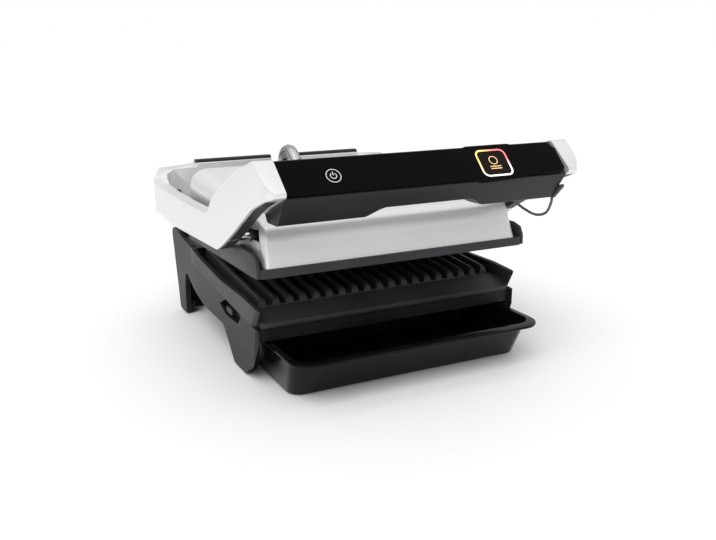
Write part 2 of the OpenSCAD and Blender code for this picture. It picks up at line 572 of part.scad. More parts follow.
// ---- joints between the arms and the head ----
latch_u = head_front + 108;
float_u = head_front + 41;
float_w = 0.6;
guide_u = head_front + 181;
guide_w = 8;
guide_d = 4;
float_max = 5;
module float_pins() color([0.8, 0.8, 0.82]) in_lid() both_sides()
    peg(-arm_in - liner_t, -shell_x + 12, float_u, float_w, float_pin_d);
module guide_pins() color([0.6, 0.6, 0.62]) in_lid() both_sides()
    peg(-arm_in - liner_t, -shell_x + 3, guide_u, guide_w, guide_d);
module lead_gland() color([0.18, 0.18, 0.19]) in_lid() along_x(handle_x, arm_in)
    outline([[nose_u + 4, 50.5, 1], [nose_u + 10, 48, 1], [nose_u + 28, 27, 2], [nose_u + 23, 24, 1],
        [nose_u + 4, 45, 2]]);

// ================= upper head =================
top_front = [head_front + 8.5, 9];
top_back = [head_back - 1.5, 46.5];
front_r = 9;
side_lean = 1;
plan_front_r = 38;
plan_rear_r = 24;
front_lean = 7;
// Height of the flat top and radius of the fold round it, at u
function top_at(u) = top_front.y + (u - top_front.x) * (top_back.y - top_front.y) / (top_back.x - top_front.x);
function fold_r(u) = front_r + (back_r - front_r) * (u - head_front) / (head_back - head_front);
back_r = 22;
// One level of the shell: a rounded plan whose height follows the sloping top; a is the fold's angle
function shell_level(i, a) = let (f = i + (front_r - i) * (1 - cos(a)), b = i + (back_r - i) * (1 - cos(a)))
    [for (p = rounded([[-shell_x + side_lean + f, head_front + front_lean + f, plan_front_r - f],
        [shell_x - side_lean - f, head_front + front_lean + f, plan_front_r - f],
        [shell_x - side_lean - b, head_back - b, plan_rear_r - b],
        [-shell_x + side_lean + b, head_back - b, plan_rear_r - b]], 8))
    [p.x, p.y, top_at(p.y) - (fold_r(p.y) - i) * (1 - sin(a)) - i]];
function shell_foot(i, w) = [for (p = plan(shell_x - i, head_front + i, head_back - i, plan_front_r - i,
    plan_rear_r - i, 8)) [p.x, p.y, w]];
module shell_solid(i) loft(concat(i > 0 ? [shell_foot(i, shell_low - 20)] : [], [shell_foot(i, shell_low)],
    [for (a = [0:15:90]) shell_level(i, a)]));
module top_shell() color([0.78, 0.78, 0.78]) in_lid() difference() {
    shell_solid(0);
    shell_solid(shell_t);
    both_sides() peg(-shell_x - 2, -shell_x + 12, float_u, float_w, bush_d + 0.4);
    both_sides() guide_slot(-shell_x - 2, -shell_x + 8);
    // notch over the release button
    translate([shell_x - 6, latch_u - 16, shell_low - 1]) cube([8, 32, 9]);
    conduit_hole();
    translate([lead_end.x, lead_end.y, lead_end.z - 6]) cylinder(h = 12, d = 5, $fn = 32);
}
bush_d = 14;
slot_top = guide_w + guide_d / 2 + 0.3;
slot_low = guide_w - guide_d / 2 - (guide_u - float_u) * sin(float_max) - 1.2;
module guide_slot(x0, x1) along_x(x0, x1) polygon([[guide_u - guide_d / 2 - 0.6, slot_low],
    [guide_u + guide_d / 2 + 0.6, slot_low], [guide_u + guide_d / 2 + 0.6, slot_top],
    [guide_u - guide_d / 2 - 0.6, slot_top]]);
frame_x = shell_x - shell_t - fit_gap;
module head_frame() color([0.15, 0.15, 0.16]) in_lid() difference() {
    union() {
        upright(shell_low, shell_low + 3) polygon(plan(frame_x, head_front + shell_t + 1.2,
            head_back - shell_t - fit_gap, plan_front_r - shell_t - fit_gap, plan_rear_r - shell_t - fit_gap, 8));
        // side rails that carry the bushes
        both_sides() along_x(-frame_x + 4, -frame_x + 9) outline([[head_front + 30, shell_low + 2, 0],
            [head_back - 30, shell_low + 2, 0], [head_back - 40, 24, 6], [float_u + 70, 10, 20],
            [float_u + 8, 7.8, 3], [float_u - 8.5, 6.5, 5], [float_u - 8.5, float_w - 8, 5]]);
    }
    upright(shell_low - 1, shell_low + 4) polygon(plan(grid_x + 3, head_front + 9, head_front + upper_depth - 14, 33, 4));
    both_sides() peg(-frame_x - 1, -frame_x + 12, float_u, float_w, bush_d);
    both_sides() guide_slot(-frame_x - 2, -frame_x + 12);
    translate([frame_x - 15, latch_u - 16, shell_low - 1]) cube([20, 32, 9]);
}
module float_bushes() color([0.06, 0.06, 0.06]) in_lid() both_sides()
    translate([-shell_x + 1.5, float_u, float_w]) rotate([0, 90, 0]) difference() {
        cylinder(h = 9.5, d = bush_d, $fn = 64);
        translate([0, 0, -1]) cylinder(h = 12, d = float_pin_d + 2 * run_gap, $fn = 64);
    }

// ---- upper plate ----
upper_rib_h = 7;
upper_floor = rib_plane + upper_rib_h;
upper_front = head_front - 3;
upper_back = upper_front + upper_depth;
module upper_plate() color([0.17, 0.17, 0.18]) in_lid() difference() {
    union() {
        upright(rib_plane, shell_low - 0.05) polygon(plan(upper_x, upper_front, upper_back, 34, 6, 8));
        upright(shell_low - 0.1, upper_floor + floor_t) polygon(plan(grid_x + 2.5, head_front + 9.5,
            head_front + upper_depth - 14.5, 32.5, 3, 6));
    }
    // room between the rim and the ribs
    translate([0, 0, rib_plane]) difference() {
        upright(-1, upper_rib_h) polygon(plan(upper_x - 3.5, upper_front + 3.5, upper_back - 3.5, 30.5, 3, 8));
        mirror([0, 0, 1]) difference() {
            along_y(upper_front + 12, upper_back - 10) rib_section(rib_h + 2);
            rib_ends(upper_front + 12, upper_back - 10);
        }
    }
}
upper_heater_w = upper_floor + floor_t + heater_d / 2 + fit_gap;
upper_sensor_u = (upper_front + upper_back) / 2;
module upper_heater() color([0.35, 0.33, 0.32]) in_lid() translate([0, 0, upper_heater_w])
    heater(upper_front + 66, upper_back - 60, 4);
module upper_reflector() color([0.72, 0.73, 0.74]) in_lid() difference() {
    along_x(-reflector_x, reflector_x) reflector_section(upper_front + 24, upper_back - 18);
    translate([0, upper_sensor_u, upper_heater_w]) cylinder(h = 10, d = 14, $fn = 40);
}
// A sheet over the tube, turned down at both ends
module reflector_section(u0, u1) polygon([[u0, upper_heater_w - 2], [u0 + 1, upper_heater_w - 2],
    [u0 + 3, upper_heater_w + 5.4], [u1 - 3, upper_heater_w + 5.4], [u1 - 1, upper_heater_w - 2],
    [u1, upper_heater_w - 2], [u1 - 2, upper_heater_w + 6.2], [u0 + 2, upper_heater_w + 6.2]]);
module upper_sensor() color([0.8, 0.8, 0.82]) in_lid() translate([0, upper_sensor_u, upper_floor + floor_t + 0.1]) {
    cylinder(h = 14, d = 9, $fn = 40);
    translate([0, 0, 12]) cylinder(h = 2, d = 12, $fn = 40);
}
module upper_latch() color([0.3, 0.3, 0.31]) in_lid() translate([shell_x, latch_u, shell_low]) {
    along_x(-4.5, -0.8) outline([[-12, 1.9, 1.5], [12, 1.9, 1.5], [12, 7.2, 1.5], [-12, 7.2, 1.5]]);
    along_x(-11, -4.4) polygon([[-5, 2.4], [5, 2.4], [5, 5.4], [-5, 5.4]]);
}

// ---- swept tubes ----
function cross3(a, b) = [a.y * b.z - a.z * b.y, a.z * b.x - a.x * b.z, a.x * b.y - a.y * b.x];
// A Catmull-Rom point between p1 and p2
function smooth(p0, p1, p2, p3, t) = 0.5 * (2 * p1 + (p2 - p0) * t + (2 * p0 - 5 * p1 + 4 * p2 - p3) * t * t
    + (3 * p1 - p0 - 3 * p2 + p3) * t * t * t);
function route(p, n) = [for (i = [0:len(p) - 2], k = [0:n - 1])
    smooth(p[max(i - 1, 0)], p[i], p[i + 1], p[min(i + 2, len(p) - 1)], k / n), p[len(p) - 1]];
function heading(p, i) = unit(p[min(i + 1, len(p) - 1)] - p[max(i - 1, 0)]);
function ring(c, d, r, sides, up) = let (side = unit(cross3(d, up)), top = cross3(side, d))
    [for (k = [0:sides - 1]) c + r * (side * cos(360 * k / sides) + top * sin(360 * k / sides))];
function sleeve(i, j, n) = [for (k = [0:n - 1])
    each [[i + k, i + (k + 1) % n, j + (k + 1) % n], [i + k, j + (k + 1) % n, j + k]]];
function turned_over(f) = [for (t = f) [t[0], t[2], t[1]]];
// A closed skin over rings of equally many points
module loft(rings) {
    n = len(rings[0]);
    m = len(rings);
    polyhedron([for (r = rings) each r], concat(turned_over([for (i = [0:m - 2]) each sleeve(i * n, (i + 1) * n, n)]),
        [[for (k = [0:n - 1]) k], [for (k = [0:n - 1]) m * n - 1 - k]]), convexity = 8);
}
// A solid round tube along a route
module cable(p, d, sides, up) loft([for (i = [0:len(p) - 1]) ring(p[i], heading(p, i), d / 2, sides, up)]);
lead_d = 3;
lead_end = [126, -288, 11];
lead_points = [[157, -358.5, 25], [157, -357, 18], [156.5, -350, 7], [154.5, -335, 3], [151, -318, 8], [143, -304, 18],
    [133, -293, 22], [127.5, -288.5, 18], [126, -288, 9]];
module head_lead() color([0.25, 0.25, 0.26]) in_lid() cable(route(lead_points, 3), lead_d, 8, [1, 0.2, 0.1]);

// ---- ribbed conduit ----
conduit_d = 16;
conduit_bend = 24;
conduit_straight = 16;
conduit_foot = notch_w;
conduit_u = rear_u - conduit_d / 2 - 1;
conduit_hub = [conduit_u - conduit_bend, conduit_foot + conduit_straight];
conduit_arc = 130;
conduit_len = 2 * conduit_straight + conduit_bend * conduit_arc * PI / 180;
// Point and heading at a distance along the conduit, from the bar's notch to the head
function conduit_at(s) = let (a = (s - conduit_straight) / conduit_bend * 180 / PI)
    s < conduit_straight ? [[conduit_u, conduit_foot + s], 90] :
    a < conduit_arc ? [conduit_hub + conduit_bend * turned([1, 0], a), 90 + a] :
    let (over = s - conduit_straight - conduit_bend * conduit_arc * PI / 180)
    [conduit_hub + conduit_bend * turned([1, 0], conduit_arc) + over * turned([1, 0], 90 + conduit_arc), 90 + conduit_arc];
rib_n = 28;
conduit_sides = 8;
function conduit_ring(s, r) = let (c = conduit_at(s), d = turned([1, 0], c[1]))
    ring([conduit_x, c[0].x, c[0].y], [0, d.x, d.y], r, conduit_sides, [1, 0, 0]);
// Each rib has a crest ring and a groove ring; the bore runs back inside
conduit_steps = concat([for (i = [0:rib_n - 1]) each [[(i + 0.25) * conduit_len / rib_n, conduit_d / 2],
    [(i + 0.75) * conduit_len / rib_n, conduit_d / 2 - 1.3]]]);
outer_steps = concat([[0, conduit_d / 2 - 1.3]], conduit_steps, [[conduit_len, conduit_d / 2 - 1.3]]);
inner_steps = [for (i = [14:-1:0]) [i * conduit_len / 14, conduit_d / 2 - 3]];
module rear_conduit() color([0.75, 0.75, 0.77]) in_lid() {
    steps = concat(outer_steps, inner_steps);
    points = [for (s = steps) each conduit_ring(s[0], s[1])];
    n = len(steps);
    polyhedron(points, turned_over([for (i = [0:n - 1]) each sleeve(i * conduit_sides, ((i + 1) % n) * conduit_sides,
        conduit_sides)]), convexity = 10);
}
conduit_end = conduit_at(conduit_len);
module at_conduit_end() translate([conduit_x, conduit_end[0].x, conduit_end[0].y])
    rotate([conduit_end[1] - 90, 0, 0]) children();
module conduit_hole() at_conduit_end() cylinder(h = 30, d = conduit_d + 4.6, $fn = 48);
module conduit_socket() color([0.12, 0.12, 0.12]) in_lid() at_conduit_end() difference() {
    union() {
        cylinder(h = 26, d = conduit_d + 4, $fn = 48);
        translate([0, 0, 4]) cylinder(h = 5, d = conduit_d + 8, $fn = 48);
    }
    translate([0, 0, -1]) cylinder(h = 30, d = conduit_d - 6, $fn = 48);
}

base_housing();
base_cover();
feet();
cover_screws();
lower_plate();
lower_heater();
lower_reflector();
lower_sensor();
lower_latch();
hinge_brackets();
hinge_pins();
terminal_block();
cord_gland();
drip_tray();
left_arm();
right_arm();
left_arm_liner();
right_arm_liner();
pivot_caps();
rear_bar();
bar_strips();
handle_body();
control_panel();
display_window();
display_ring();
power_button();
control_board();
float_pins();
guide_pins();
lead_gland();
head_lead();
top_shell();
head_frame();
upper_plate();
upper_heater();
upper_reflector();
upper_sensor();
upper_latch();
float_bushes();
conduit_socket();
rear_conduit();
handle_screws();
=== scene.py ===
import json
import math

import bmesh
import bpy
from mathutils import Matrix, Vector

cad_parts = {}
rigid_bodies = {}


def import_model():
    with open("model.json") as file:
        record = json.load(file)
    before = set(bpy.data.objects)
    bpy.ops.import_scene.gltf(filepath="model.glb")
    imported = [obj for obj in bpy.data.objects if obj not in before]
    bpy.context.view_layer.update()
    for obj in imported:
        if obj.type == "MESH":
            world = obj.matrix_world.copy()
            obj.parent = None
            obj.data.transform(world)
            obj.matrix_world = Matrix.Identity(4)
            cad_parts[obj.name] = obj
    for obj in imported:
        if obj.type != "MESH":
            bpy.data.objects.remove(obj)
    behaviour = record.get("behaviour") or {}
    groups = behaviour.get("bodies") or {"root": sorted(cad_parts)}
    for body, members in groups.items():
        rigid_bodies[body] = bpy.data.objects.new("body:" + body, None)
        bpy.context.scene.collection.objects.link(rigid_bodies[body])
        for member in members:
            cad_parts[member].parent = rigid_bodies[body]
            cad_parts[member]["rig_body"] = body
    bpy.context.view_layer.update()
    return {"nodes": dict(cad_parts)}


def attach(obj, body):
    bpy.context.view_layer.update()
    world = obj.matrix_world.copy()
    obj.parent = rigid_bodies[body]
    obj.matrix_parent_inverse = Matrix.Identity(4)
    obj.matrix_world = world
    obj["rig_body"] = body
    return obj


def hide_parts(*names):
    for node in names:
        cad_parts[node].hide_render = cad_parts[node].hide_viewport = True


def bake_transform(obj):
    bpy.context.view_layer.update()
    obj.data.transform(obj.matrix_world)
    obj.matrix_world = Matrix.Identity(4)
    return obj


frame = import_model()

bl_info = {
    "name": "Contact grill",
    "version": (1, 0, 0),
    "blender": (4, 5, 0),
    "location": "3D View > Sidebar > Grill",
    "description": "Dresses the packed contact grill and sets it on a studio floor",
    "category": "Object",
}

MM = 0.001
NODES = frame["nodes"]

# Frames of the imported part, each in millimetres with X to the right, as seen from the front.
# BASE: the bench, with Y towards the back and Z up.
BASE = Matrix.Translation(Vector((0, 50.5, 0)) * MM)
# LID: the hinge line, with Y (u) towards the back and Z (w) up, square to the lid.
LID = Matrix.Translation(Vector((0, 175.5, 140)) * MM) @ Matrix.Rotation(math.radians(-2.1), 4, "X")
# PANEL: the fascia's face, with Y up its slope and Z out of it. NOSE_U is the front of the arms in LID.
NOSE_U = -383.884
PANEL = (LID @ Matrix.Translation(Vector((0, NOSE_U + 14.5, 69)) * MM)
    @ Matrix.Rotation(math.radians(47), 4, "X"))
# PLATE: the front of the lower plate, with Y up its slope.
PLATE = Matrix.Translation(Vector((0, -110.5, 81)) * MM) @ Matrix.Rotation(math.radians(4.1), 4, "X")

# Places on those frames
HEAD_FRONT = NOSE_U + 75
SHELL_LOW = -25.9
BUTTON_AT = (-103.0, -1.0, 0.02)
DISPLAY_AT = (73.0, -1.0, -0.18)
PRINT_HEIGHT = 0.06
CAMERA_TARGET = Vector((-6.112, -50.042, 85.644)) * MM

# The head's lead, in LID: its route is listed, as in the part's source
LEAD_POINTS = ((157, -358.5, 25), (157, -357, 18), (156.5, -350, 7), (154.5, -335, 3), (151, -318, 8),
    (143, -304, 18), (133, -293, 22), (127.5, -288.5, 18), (126, -288, 9))


# ---------------------------------------------------------------- sizes and colours
class GrillFinishes(bpy.types.PropertyGroup):
    """Colours of the grill's visible finishes"""
    arms: bpy.props.FloatVectorProperty(name="Arms", description="Satin silver of the lid frame",
        subtype="COLOR", size=3, min=0, max=1, default=(0.80, 0.80, 0.81))
    shell: bpy.props.FloatVectorProperty(name="Shell", description="Brushed steel of the upper head",
        subtype="COLOR", size=3, min=0, max=1, default=(0.88, 0.875, 0.87))
    handle: bpy.props.FloatVectorProperty(name="Handle", description="Dark plastic of the handle",
        subtype="COLOR", size=3, min=0, max=1, default=(0.014, 0.014, 0.015))
    housing: bpy.props.FloatVectorProperty(name="Housing", description="Black plastic of the base",
        subtype="COLOR", size=3, min=0, max=1, default=(0.010, 0.010, 0.011))
    coating: bpy.props.FloatVectorProperty(name="Coating", description="Non-stick coating of the plates",
        subtype="COLOR", size=3, min=0, max=1, default=(0.034, 0.035, 0.037))


class GrillSizes(bpy.types.PropertyGroup):
    """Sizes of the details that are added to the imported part"""
    edge: bpy.props.FloatProperty(name="Edge radius", description="Rounding of moulded edges",
        subtype="DISTANCE", unit="LENGTH", default=0.0009)
    symbol: bpy.props.FloatProperty(name="Standby ring", description="Diameter of the standby ring",
        subtype="DISTANCE", unit="LENGTH", default=0.0142)


class GrillStudio(bpy.types.PropertyGroup):
    """Camera and light"""
    lens: bpy.props.FloatProperty(name="Lens", description="Focal length on a 36 mm wide sensor",
        subtype="DISTANCE_CAMERA", default=42.05)
    azimuth: bpy.props.FloatProperty(name="Azimuth", description="How far the camera stands to the left",
        subtype="ANGLE", default=math.radians(27.0))
    elevation: bpy.props.FloatProperty(name="Elevation", description="How far the camera looks down",
        subtype="ANGLE", default=math.radians(15.807))
    distance: bpy.props.FloatProperty(name="Distance", description="From the camera to what it looks at",
        subtype="DISTANCE", unit="LENGTH", default=0.951342)
    horizon: bpy.props.FloatProperty(name="Horizon", description="Light of the room at eye level",
        min=0, default=0.5)
    zenith: bpy.props.FloatProperty(name="Zenith", description="Light of the ceiling",
        min=0, default=0.95)
    window: bpy.props.FloatProperty(name="Window", description="Strength of the wide light from the left",
        min=0, default=1.2)
    window_width: bpy.props.FloatProperty(name="Window width", description="Angle across the wide light",
        subtype="ANGLE", default=math.radians(50))
    floor: bpy.props.FloatVectorProperty(name="Floor", description="Colour of the studio floor",
        subtype="COLOR", size=3, min=0, max=1, default=(0.97, 0.97, 0.97))


# ---------------------------------------------------------------- shader maths
class Wire:
    """A node's output socket that can be written into an expression"""

    def __init__(self, nodes, socket):
        self.nodes = nodes
        self.socket = socket

    def maths(self, operation, first, second):
        return self.nodes.node("ShaderNodeMath", {"operation": operation}, {0: first, 1: second})

    def __add__(self, other):
        return self.maths("ADD", self, other)

    def __radd__(self, other):
        return self.maths("ADD", other, self)

    def __sub__(self, other):
        return self.maths("SUBTRACT", self, other)

    def __rsub__(self, other):
        return self.maths("SUBTRACT", other, self)

    def __mul__(self, other):
        return self.maths("MULTIPLY", self, other)

    def __rmul__(self, other):
        return self.maths("MULTIPLY", other, self)


class Nodes:
    """A node tree that is built from its last node backwards"""

    def __init__(self, tree):
        self.tree = tree

    def node(self, kind, settings=None, sockets=None, out=0):
        made = self.tree.nodes.new(kind)
        for name, value in (settings or {}).items():
            if name == "stops":
                self.ramp(made.color_ramp, value)
            else:
                setattr(made, name, value)
        for name, value in (sockets or {}).items():
            self.join(made.inputs[name], value)
        return Wire(self, made.outputs[out])

    def ramp(self, ramp, stops):
        while len(ramp.elements) > 1:
            ramp.elements.remove(ramp.elements[-1])
        for i, (position, color) in enumerate(stops):
            element = ramp.elements[0] if i == 0 else ramp.elements.new(position)
            element.position = position
            element.color = (*color, 1.0)

    def join(self, socket, value):
        if isinstance(value, Wire):
            self.tree.links.new(value.socket, socket)
        else:
            socket.default_value = value


class Finish(Nodes):
    """One material, whose patterns read Object coordinates"""

    def __init__(self, name, color, roughness, metallic=0.0, **fixed):
        self.material = bpy.data.materials.new(name)
        self.material.use_nodes = True
        self.material.diffuse_color = (*color, 1.0)
        super().__init__(self.material.node_tree)
        self.shader = self.tree.nodes["Principled BSDF"]
        self.feed("Base Color", (*color, 1.0))
        self.feed("Roughness", roughness)
        self.feed("Metallic", metallic)
        for socket, value in fixed.items():
            self.feed(socket.replace("_", " "), value)
        self.place = self.node("ShaderNodeTexCoord", out="Object")

    def feed(self, socket, value):
        self.join(self.shader.inputs[socket], value)

    def stretched(self, x, y, z):
        return self.node("ShaderNodeMapping", sockets={"Vector": self.place, "Scale": (x, y, z)})

    def noise(self, scale, detail=2.0, rough=0.5, vector=None):
        return self.node("ShaderNodeTexNoise", sockets={"Vector": vector or self.place, "Scale": scale,
            "Detail": detail, "Roughness": rough})

    def blend(self, mask, first, second):
        first, second = (c if isinstance(c, Wire) else (*c, 1.0) for c in (first, second))
        return self.node("ShaderNodeMix", {"data_type": "RGBA"}, {0: mask, 6: first, 7: second}, out=2)

    def span(self, wire, low, high, to_low=0.0, to_high=1.0):
        return self.node("ShaderNodeMapRange", sockets={0: wire, 1: low, 2: high, 3: to_low, 4: to_high})

    def axis(self, name):
        return self.node("ShaderNodeSeparateXYZ", sockets={0: self.place}, out=name)

    def bump(self, height, strength, depth):
        self.feed("Normal", self.node("ShaderNodeBump", sockets={"Height": height, "Strength": strength,
            "Distance": depth}))


# ---------------------------------------------------------------- finishes
def shade(color, gain):
    """A lighter or darker tone of a colour"""
    return tuple(min(1.0, c * gain) for c in color)


def satin_paint(color):
    """Silver paint with a fine flake under a thin clear coat"""
    f = Finish("satin_silver", color, 0.38, 0.62, Coat_Roughness=0.25)
    flake = f.noise(5200, 1.0)
    cloud = f.noise(9, 3.0)
    f.feed("Base Color", f.blend(f.span(cloud, 0.3, 0.7), shade(color, 0.965), shade(color, 1.03)))
    f.feed("Roughness", f.span(cloud, 0.3, 0.7, 0.31, 0.40) + f.span(flake, 0.3, 0.7, 0.0, 0.05))
    f.feed("Coat Weight", 0.18)
    f.bump(flake, 0.05, 0.0001)
    return f.material


def brushed_steel(name, color, rough=0.27, metallic=1.0):
    """Steel with fine streaks that run across the grill"""
    f = Finish(name, color, rough, metallic)
    streak = f.noise(1.0, 3.0, 0.65, f.stretched(4, 1500, 1500))
    broad = f.noise(6, 2.0)
    f.feed("Base Color", f.blend(f.span(streak, 0.25, 0.75), shade(color, 0.95), shade(color, 1.04)))
    f.feed("Roughness", f.span(streak, 0.25, 0.75, rough - 0.05, rough + 0.11)
        + f.span(broad, 0.3, 0.7, 0.0, 0.05))
    f.bump(streak, 0.04, 0.00003)
    return f.material


def moulded(name, color, rough, grain=2600, strength=0.12, wear=1.5, shine=0.22):
    """Plastic with a moulded grain, and handling marks that are lighter by `wear`"""
    f = Finish(name, color, rough, Specular_IOR_Level=shine)
    fine = f.noise(grain, 2.0, 0.6)
    cloud = f.noise(14, 3.0)
    f.feed("Base Color", f.blend(f.span(cloud, 0.35, 0.7), shade(color, 0.9), shade(color, wear)))
    f.feed("Roughness", f.span(cloud, 0.3, 0.7, rough - 0.03, rough + 0.05)
        + f.span(fine, 0.3, 0.7, 0.0, 0.06))
    f.bump(fine, strength, 0.00005)
    return f.material


def gloss_black(name, color=(0.0025, 0.0025, 0.003), rough=0.10):
    """High-gloss black with a little dust"""
    f = Finish(name, color, rough, Specular_IOR_Level=0.035)
    cloud = f.noise(22, 2.0)
    dust = f.noise(1400, 1.0)
    f.feed("Roughness", f.span(cloud, 0.3, 0.7, rough - 0.03, rough + 0.04))
    f.feed("Base Color", f.blend(f.span(dust, 0.66, 0.75), color, shade(color, 1.8)))
    f.bump(cloud, 0.02, 0.0001)
    return f.material


def non_stick(name, color):
    """Sprayed coating with light mineral flecks"""
    f = Finish(name, color, 0.42, Specular_IOR_Level=0.3)
    fleck = f.node("ShaderNodeTexVoronoi", sockets={"Vector": f.place, "Scale": 1500.0})
    fine = f.noise(1800, 2.0)
    cloud = f.noise(18, 4.0, 0.6)
    base = f.blend(f.span(cloud, 0.3, 0.75), shade(color, 0.72), shade(color, 1.25))
    f.feed("Base Color", f.blend(f.span(fleck, 0.10, 0.04), base, shade(color, 3.2)))
    f.feed("Roughness", f.span(cloud, 0.3, 0.7, 0.36, 0.50) + f.span(fine, 0.3, 0.7, 0.0, 0.06))
    f.bump(fine, 0.22, 0.00012)
    return f.material


def polished(name, color=(0.85, 0.85, 0.87), rough=0.10):
    """Bright turned metal"""
    f = Finish(name, color, rough, 1.0)
    turned = f.noise(1.0, 2.0, 0.5, f.stretched(900, 60, 60))
    cloud = f.noise(60, 2.0)
    f.feed("Roughness", f.span(turned, 0.3, 0.7, rough - 0.03, rough + 0.08))
    f.feed("Base Color", f.blend(f.span(cloud, 0.3, 0.7), shade(color, 0.92), shade(color, 1.0)))
    f.bump(turned, 0.05, 0.00005)
    return f.material


def rubber(name, color=(0.02, 0.02, 0.02)):
    """Matt rubber or woven sleeve"""
    f = Finish(name, color, 0.75)
    fine = f.noise(1300, 3.0)
    f.feed("Base Color", f.blend(f.span(fine, 0.3, 0.8), color, shade(color, 1.9)))
    f.feed("Roughness", f.span(fine, 0.3, 0.7, 0.68, 0.85))
    f.bump(fine, 0.25, 0.0001)
    return f.material


def heat_tinted(name, color):
    """Metal with the tints of heat"""
    f = Finish(name, color, 0.5, 0.9)
    tint = f.noise(40, 4.0)
    f.feed("Base Color", f.node("ShaderNodeValToRGB", {"stops": [(0.3, shade(color, 0.7)), (0.5, color),
        (0.62, (0.30, 0.22, 0.15)), (0.75, (0.16, 0.17, 0.24))]}, {"Fac": tint}))
    f.feed("Roughness", f.span(tint, 0.3, 0.7, 0.42, 0.6))
    f.bump(tint, 0.1, 0.0002)
    return f.material


def display_glow():
    """The lit ring: warm yellow on the left, rose at the top right and white at the lower right"""
    f = Finish("display_ring_light", (0.9, 0.85, 0.6), 0.3)
    half_width, half_height = 0.018, 0.0165
    centre = PANEL @ (Vector((*DISPLAY_AT[:2], 0)) * MM)
    up = PANEL.to_3x3() @ Vector((0, 1, 0))
    across = (f.axis("X") - centre.x) * (1 / half_width)
    rise = ((f.axis("Y") - centre.y) * up.y + (f.axis("Z") - centre.z) * up.z) * (1 / half_height)
    right = f.span(across, -0.5, 0.3)
    top = f.span(rise, -0.35, 0.25)
    side = f.blend(top, (0.95, 0.93, 0.9), (0.80, 0.16, 0.17))
    left = f.blend(f.span(rise, -1.0, 0.2), (0.75, 0.85, 0.7), (0.95, 0.60, 0.18))
    lit = f.blend(right, left, side)
    f.feed("Base Color", lit)
    f.feed("Emission Color", lit)
    f.feed("Emission Strength", 0.9)
    f.feed("Roughness", f.span(f.noise(800), 0.3, 0.7, 0.25, 0.35))
    return f.material


def inked(name, color, glow=0.0):
    """Print, ceramic or a lit symbol"""
    f = Finish(name, color, 0.35)
    speck = f.noise(2400, 2.0)
    f.feed("Base Color", f.blend(f.span(speck, 0.3, 0.7), shade(color, 0.88), color))
    f.feed("Roughness", f.span(speck, 0.3, 0.7, 0.3, 0.42))
    if glow:
        f.feed("Emission Color", (*color, 1.0))
        f.feed("Emission Strength", glow)
    return f.material


# ---------------------------------------------------------------- mesh helpers
def finish_piece(piece, material, smooth=30):
    """Gives a piece its material and shading"""
    mesh = piece.data
    mesh.materials.clear()
    mesh.materials.append(material)
    mesh.polygons.foreach_set("use_smooth", [True] * len(mesh.polygons))
    mesh.set_sharp_from_angle(angle=math.radians(smooth))
    return piece


def piece_from(bm, name):
    """Turns a form that is ready into an object at the origin"""
    mesh = bpy.data.meshes.new(name)
    bm.to_mesh(mesh)
    bm.free()
    piece = bpy.data.objects.new(name, mesh)
    bpy.context.scene.collection.objects.link(piece)
    return piece


def dressed(node, material, edge=0.0, segments=2, smooth=35, flatten=0.6, changes=(), rides=True):
    """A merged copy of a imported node, changed and with rounded edges, that is shown in its place"""
    bm = bmesh.new()
    bm.from_mesh(NODES[node].data)
    bmesh.ops.remove_doubles(bm, verts=bm.verts, dist=2e-6)
    bmesh.ops.dissolve_degenerate(bm, dist=1e-6, edges=bm.edges)
    bmesh.ops.dissolve_limit(bm, angle_limit=math.radians(flatten), verts=bm.verts, edges=bm.edges)
    for change in changes:
        change(bm)
    piece = piece_from(bm, node + "_dressed")
    if edge:
        rounding = piece.modifiers.new("Rounded edges", "BEVEL")
        rounding.width = edge
        rounding.segments = segments
        rounding.limit_method = "ANGLE"
        rounding.angle_limit = math.radians(32)
        rounding.miter_outer = "MITER_ARC"
    finish_piece(piece, material, smooth)
    if rides:
        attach(piece, NODES[node]["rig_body"])
    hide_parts(node)
    return piece


def coat(material, *nodes):
    """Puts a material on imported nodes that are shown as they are"""
    for node in nodes:
        mesh = NODES[node].data
        mesh.materials.clear()
        mesh.materials.append(material)


def settle(bm, place):
    """Takes a form from millimetres of a frame to its place in metres"""
    bmesh.ops.recalc_face_normals(bm, faces=bm.faces)
    bmesh.ops.transform(bm, matrix=place @ Matrix.Scale(MM, 4), verts=bm.verts)
    return bm


# ---------------------------------------------------------------- changed forms, in millimetres of a frame
def reshaped(place, rule):
    """Moves every vertex by a rule on its coordinates in the frame `place`"""
    def change(bm):
        back = place.inverted()
        for v in bm.verts:
            v.co = place @ (Vector(rule(*((back @ v.co) / MM))) * MM)
    return change


def ease(value, low, high):
    """Turns smoothly from 0 at `low` to 1 at `high`"""
    t = min(1.0, max(0.0, (value - low) / (high - low)))
    return t * t * (3 - 2 * t)


def tighter_corner(centre_x, centre_y, old, new, depth, widen=0.0):
    """Turns a front corner's plan arc from radius `old` to `new`, on walls up to `depth` inside it"""
    def rule(x, y, z):
        dx, dy = abs(x) - centre_x, centre_y - y
        reach = math.hypot(dx, dy)
        inset = old - reach
        if dx < -0.05 or dy < -0.05 or not -0.3 < inset < depth:
            return x, y, z
        shift = old - new - inset
        out = centre_x + shift + widen + new * dx / reach
        return math.copysign(out, x), centre_y - shift - new * dy / reach, z
    return rule


def fuller_front(x, y, z):
    """The housing and the lower plate come forward at the corners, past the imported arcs"""
    half_width, front, old, new = 157.0, -177.54, 20.0, 6.0
    off_arc = abs(math.hypot(abs(x) - half_width + old, y - front - old) - old)
    if y > front + old + 0.1 or off_arc > 0.3:
        return x, y, z
    over = min(new, max(0.0, abs(x) - half_width + new))
    return x, min(y, front + new - math.sqrt(new * new - over * over)), z


